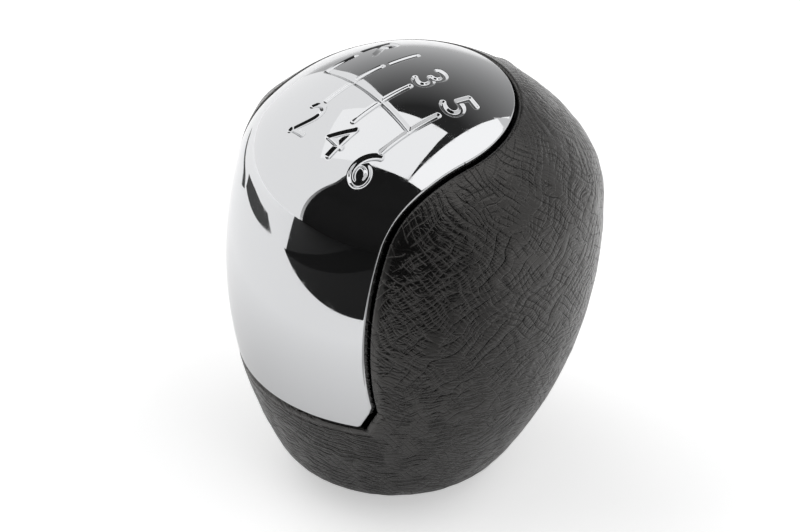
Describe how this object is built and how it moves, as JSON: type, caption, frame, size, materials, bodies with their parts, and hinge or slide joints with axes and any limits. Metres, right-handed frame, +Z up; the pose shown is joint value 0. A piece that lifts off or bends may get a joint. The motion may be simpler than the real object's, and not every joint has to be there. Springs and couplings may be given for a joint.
{
  "type": "gear shift knob",
  "caption": "Egg-shaped gear lever knob: leather-covered core with a plated cap panel running down its front, an engraved shift gate and a blind push-on bore underneath.",
  "frame": {"origin": "middle of the lever bore's mouth, on the plane of the underside", "axes": "+Z up along the gear lever, +Y away from the driver, -Y the front where the plated panel comes down, +X the driver's right"},
  "size_m": [0.0592, 0.06, 0.0694],
  "materials": {
    "plated_trim": "mirror plated",
    "leather": "fine grain, semi-matt",
    "core_plastic": "moulded",
    "sleeve_metal": "turned",
    "ring_plastic": "moulded satin"
  },
  "bodies": {
    "root": {"chrome_panel": "plated_trim", "leather_cover": "leather", "core": "core_plastic", "lever_sleeve": "sleeve_metal", "base_ring": "ring_plastic"}
  },
  "joints": []
}
